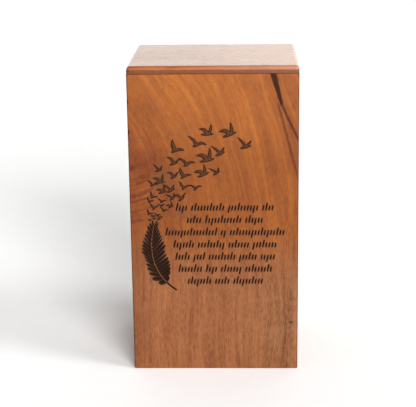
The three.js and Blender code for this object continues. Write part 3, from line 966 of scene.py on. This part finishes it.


def stacked_board(levels):
    """A closed board from level outlines, each with half width, half depth, corner radius and height."""
    made = bmesh.new()
    rings = []
    for half_x, half_y, corner, height in levels:
        ring = []
        for side_x, side_y, start in ((1, 1, 0), (-1, 1, 1), (-1, -1, 2), (1, -1, 3)):
            for step in range(CORNER_STEPS + 1):
                angle = (start + step / CORNER_STEPS) * math.pi / 2
                ring.append(made.verts.new((
                    side_x * (half_x - corner) + corner * math.cos(angle),
                    side_y * (half_y - corner) + corner * math.sin(angle),
                    height,
                )))
        rings.append(ring)
    for under, over in zip(rings, rings[1:]):
        for i in range(len(under)):
            j = (i + 1) % len(under)
            made.faces.new((under[i], under[j], over[j], over[i]))
    made.faces.new(rings[0])
    made.faces.new(rings[-1])
    bmesh.ops.recalc_face_normals(made, faces=made.faces)
    mesh = bpy.data.meshes.new("stacked_board")
    made.to_mesh(mesh)
    made.free()
    mesh.shade_smooth()
    return mesh


low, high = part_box("top_board")
half_x, half_y = high.x, high.y
under = high.z - TOP_THICKNESS
levels = [
    (*LIP_HALF, TOP_ARRIS, low.z),
    (*LIP_HALF, TOP_ARRIS, under),
    (half_x - TOP_ARRIS, half_y - TOP_ARRIS, TOP_CORNER, under),
    (half_x, half_y, TOP_CORNER, under + TOP_ARRIS),
]
for step in range(ROUND_STEPS + 1):
    angle = step / ROUND_STEPS * math.pi / 2
    inset = TOP_ROUND * (1 - math.cos(angle))
    levels.append((
        half_x - inset, half_y - inset, TOP_CORNER - 0.2 * inset,
        high.z - TOP_RISE * (1 - math.sin(angle)),
    ))
top = piece_from("top_board_routed", stacked_board(levels))
top.data.materials.append(board_wood(
    "top_wood", (1, 0, 2), TOP_SHADES, 7,
    specular=0.25, roughness=0.2, cut_edge=TOP_CUT_EDGE, painted_sheen_end=TOP_PAINTED_SHEEN,
))
softened = top.modifiers.new("even_faces", "WEIGHTED_NORMAL")
softened.mode = "FACE_AREA"
softened.weight = 80
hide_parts("top_board")
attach(top, "root")


# Screws: four zinc-plated countersunk wood screws with a cross recess,
# driven from below through the base board into the front and back.
SCREW_PROFILE = [(0, 0), (2.2, 0), (2.5, 0.12), (2.5, 0.3), (1.3, 1.6), (1.3, 13), (0, 16)]
CROSS_LENGTH = 0.0028
CROSS_WIDTH = 0.0007
CROSS_DEPTH = 0.0011
THREAD_START = 0.0035
THREAD_LENGTH = 0.0095
THREAD_TURNS = 8.0
THREAD_RADIUS = 0.00128
THREAD_SIZE = 0.00026
DULL_ZINC = (0.50, 0.48, 0.42)
BRIGHT_ZINC = (0.68, 0.65, 0.56)


def driven_screws():
    """Threads one turned screw, cuts its recess and sets a copy at each place."""
    tree, given = geometry_tree(
        "Driven screws", "Screws",
        Geometry=["Places"],
        Object=["Turned screw"],
        Float=["Cross length", "Cross width", "Cross depth", "Thread start", "Thread length",
               "Thread turns", "Thread radius", "Thread size"],
        Material=["Steel"],
    )
    screw = shape_of(tree, given["Turned screw"])
    deep = calc(tree, "MULTIPLY", given["Cross depth"], 2.0)
    for sides in (("Cross length", "Cross width"), ("Cross width", "Cross length")):
        size = combined(tree, given[sides[0]], given[sides[1]], deep)
        screw = less(tree, screw, node(tree, "GeometryNodeMeshCube", {"Size": size}).outputs[0])
    spiral = node(tree, "GeometryNodeCurveSpiral", {
        "Resolution": 16, "Rotations": given["Thread turns"], "Start Radius": given["Thread radius"],
        "End Radius": given["Thread radius"], "Height": given["Thread length"],
    })
    ridge = node(tree, "GeometryNodeCurvePrimitiveCircle", {"Resolution": 4, "Radius": given["Thread size"]})
    thread = node(tree, "GeometryNodeCurveToMesh", {
        "Curve": spiral.outputs[0], "Profile Curve": ridge.outputs[0], "Fill Caps": True,
    })
    lift = combined(tree, 0.0, 0.0, given["Thread start"])
    thread = node(tree, "GeometryNodeTransform", {"Geometry": thread.outputs[0], "Translation": lift})
    threaded = node(tree, "GeometryNodeMeshBoolean", operation="UNION", solver="MANIFOLD")
    tree.links.new(screw, threaded.inputs[1])
    tree.links.new(thread.outputs[0], threaded.inputs[1])
    placed = node(tree, "GeometryNodeInstanceOnPoints", {
        "Points": given["Places"], "Instance": threaded.outputs[0],
    }).outputs[0]
    placed = node(tree, "GeometryNodeRealizeInstances", {0: placed}).outputs[0]
    placed = node(tree, "GeometryNodeSetMaterial", {
        "Geometry": placed, "Material": given["Steel"],
    }).outputs[0]
    node(tree, "NodeGroupOutput", {"Screws": placed})
    return tree


def zinc_steel():
    """Zinc plate: pale warm metal with faint clouding and fine turning marks."""
    material, tree = blank_material("screw_steel")
    place = node(tree, "ShaderNodeTexCoord").outputs["Object"]
    clouds = node(tree, "ShaderNodeTexNoise", {"Vector": place, "Scale": 900.0, "Detail": 3.0}).outputs["Fac"]
    marks = node(tree, "ShaderNodeTexNoise", {"Vector": place, "Scale": 6000.0, "Detail": 2.0}).outputs["Fac"]
    bump = node(tree, "ShaderNodeBump", {"Height": marks, "Distance": 0.00002, "Strength": 0.5})
    shader = node(tree, "ShaderNodeBsdfPrincipled", {
        "Base Color": tint(tree, clouds, DULL_ZINC, BRIGHT_ZINC),
        "Metallic": 1.0,
        "Roughness": fade(tree, clouds, 0.3, 0.7, 0.28, 0.45),
        "Normal": bump.outputs[0],
    })
    node(tree, "ShaderNodeOutputMaterial", {"Surface": shader.outputs[0]})
    return material


places = bpy.data.meshes.new("screw_places")
places.from_pydata(SCREW_PLACES, [], [])
screws = piece_from("base_screws", places)
one_screw = body_from("turned_screw", (turned, {"profile": SCREW_PROFILE}))
apply_tree(screws, driven_screws(), {
    "Turned screw": one_screw,
    "Cross length": CROSS_LENGTH, "Cross width": CROSS_WIDTH, "Cross depth": CROSS_DEPTH,
    "Thread start": THREAD_START, "Thread length": THREAD_LENGTH, "Thread turns": THREAD_TURNS,
    "Thread radius": THREAD_RADIUS, "Thread size": THREAD_SIZE,
    "Steel": zinc_steel(),
})
bpy.data.objects.remove(one_screw)
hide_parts("screw_front_left", "screw_front_right", "screw_back_left", "screw_back_right")
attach(screws, "root")


# Studio: a plain white floor and an even white surround, with one broad lamp
# low at the right and one nearer the camera.
FLOOR_CORNERS = [(-9, -5, 0), (9, -5, 0), (9, 12, 0), (-9, 12, 0)]
GREYER_PAPER = (0.93, 0.93, 0.935)
WHITER_PAPER = (0.97, 0.97, 0.97)
ROOM = 0.335  # brightness of the even surround
BACKDROP = 2.2  # and of the lit backdrop low behind the box
BACKDROP_WHITE = (1.0, 0.99, 0.93)

floor = piece_from("floor", bpy.data.meshes.new("floor"))
floor.data.from_pydata(FLOOR_CORNERS, [], [(0, 1, 2, 3)])
paper, tree = blank_material("white_paper")
place = node(tree, "ShaderNodeTexCoord").outputs["Object"]
speckle = node(tree, "ShaderNodeTexNoise", {"Vector": place, "Scale": 60.0, "Detail": 3.0}).outputs["Fac"]
shader = node(tree, "ShaderNodeBsdfPrincipled", {
    "Base Color": tint(tree, speckle, GREYER_PAPER, WHITER_PAPER),
    "Roughness": 0.9,
    "Specular IOR Level": 0.1,
})
node(tree, "ShaderNodeOutputMaterial", {"Surface": shader.outputs[0]})
floor.data.materials.append(paper)

world = bpy.data.worlds.new("studio")
world.use_nodes = True
tree = world.node_tree
tree.nodes.clear()
direction = node(tree, "ShaderNodeTexCoord").outputs["Generated"]
direction = node(tree, "ShaderNodeSeparateXYZ", {0: direction})
behind = fade(tree, direction.outputs["Y"], 0.3, 0.8)
low_down = fade(tree, direction.outputs["Z"], 0.65, 0.3)
lit = calc(tree, "MULTIPLY", behind, low_down)
surround = node(tree, "ShaderNodeBackground", {
    "Color": tint(tree, lit, (1.0, 1.0, 1.0), BACKDROP_WHITE),
    "Strength": fade(tree, lit, 0.0, 1.0, ROOM, BACKDROP),
})
node(tree, "ShaderNodeOutputWorld", {"Surface": surround.outputs[0]})
bpy.context.scene.world = world
bpy.context.scene.view_settings.view_transform = "Standard"


def lamp(name, azimuth, elevation, softness, strength):
    """A broad even lamp. Its azimuth is counted from the right, towards the camera."""
    light = bpy.data.lights.new(name, "SUN")
    light.energy = strength
    light.angle = math.radians(softness)
    turn, rise = math.radians(azimuth), math.radians(elevation)
    source = Vector((math.cos(turn) * math.cos(rise), -math.sin(turn) * math.cos(rise), math.sin(rise)))
    fitting = bpy.data.objects.new(name, light)
    fitting.rotation_euler = source.to_track_quat("Z", "Y").to_euler()
    bpy.context.scene.collection.objects.link(fitting)


lamp("right_lamp", 22, 20, 24, 2.24)
lamp("front_lamp", 70, 16, 30, 4.8)
